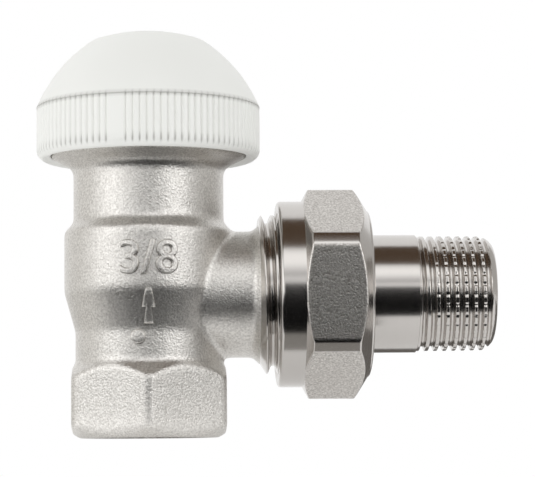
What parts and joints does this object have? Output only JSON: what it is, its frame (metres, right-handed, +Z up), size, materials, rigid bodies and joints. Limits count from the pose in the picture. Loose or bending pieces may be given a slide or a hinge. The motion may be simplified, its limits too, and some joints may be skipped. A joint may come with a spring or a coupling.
{
  "type": "angle radiator valve",
  "caption": "Angle radiator valve with a hexagon foot, a domed white screw cap that shuts it, and a union nut holding a threaded tail for the radiator.",
  "frame": {"origin": "centre of the inlet thread's mouth, on the foot's bottom face and on the spindle's axis", "axes": "+Z up along the spindle towards the cap, +X out along the outlet towards the tail's end"},
  "size_m": [0.0658, 0.0324, 0.0587],
  "materials": {
    "nickel_satin": "satin",
    "nickel_bright": "polished",
    "white_plastic": "satin",
    "brass": "satin",
    "steel": "satin",
    "rubber": "matte"
  },
  "bodies": {
    "valve_body": {"valve_body": "nickel_satin", "insert_housing": "brass", "insert_o_ring": "rubber", "gland_nut": "brass", "gland_washer": "brass", "lower_pin_o_ring": "rubber", "upper_pin_o_ring": "rubber", "ring_spacer": "brass", "return_spring": "steel"},
    "spindle": {"actuating_pin": "steel", "valve_stem": "steel", "retaining_clip": "steel", "spring_collar": "brass", "valve_disc": "brass", "disc_seal": "rubber", "disc_washer": "brass", "disc_nut": "brass"},
    "cap": {"screw_cap": "white_plastic"},
    "tail": {"tailpiece": "nickel_bright"},
    "nut": {"union_nut": "nickel_bright"}
  },
  "joints": [
    {"name": "spindle_lift", "type": "slide", "parent": "valve_body", "child": "spindle", "axis": [0, 0, 1], "range_m": [-0.0024, 0], "deforming": ["return_spring"]},
    {"name": "cap_turn", "type": "hinge", "parent": "spindle", "child": "cap", "pos_m": [0, 0, 0.05], "axis": [0, 0, 1], "range_deg": [-576, 0]},
    {"name": "tail_slide", "type": "slide", "parent": "valve_body", "child": "tail", "axis": [1, 0, 0], "range_m": [0, 0.00726]},
    {"name": "nut_turn", "type": "hinge", "parent": "tail", "child": "nut", "pos_m": [0.025, 0, 0.0205], "axis": [1, 0, 0], "range_deg": [0, 1440]}
  ],
  "couplings": [
    {"joint": "spindle_lift", "follows": "cap_turn", "m_per_rad": 0.00023873},
    {"joint": "tail_slide", "follows": "nut_turn", "m_per_rad": 0.00028871}
  ]
}
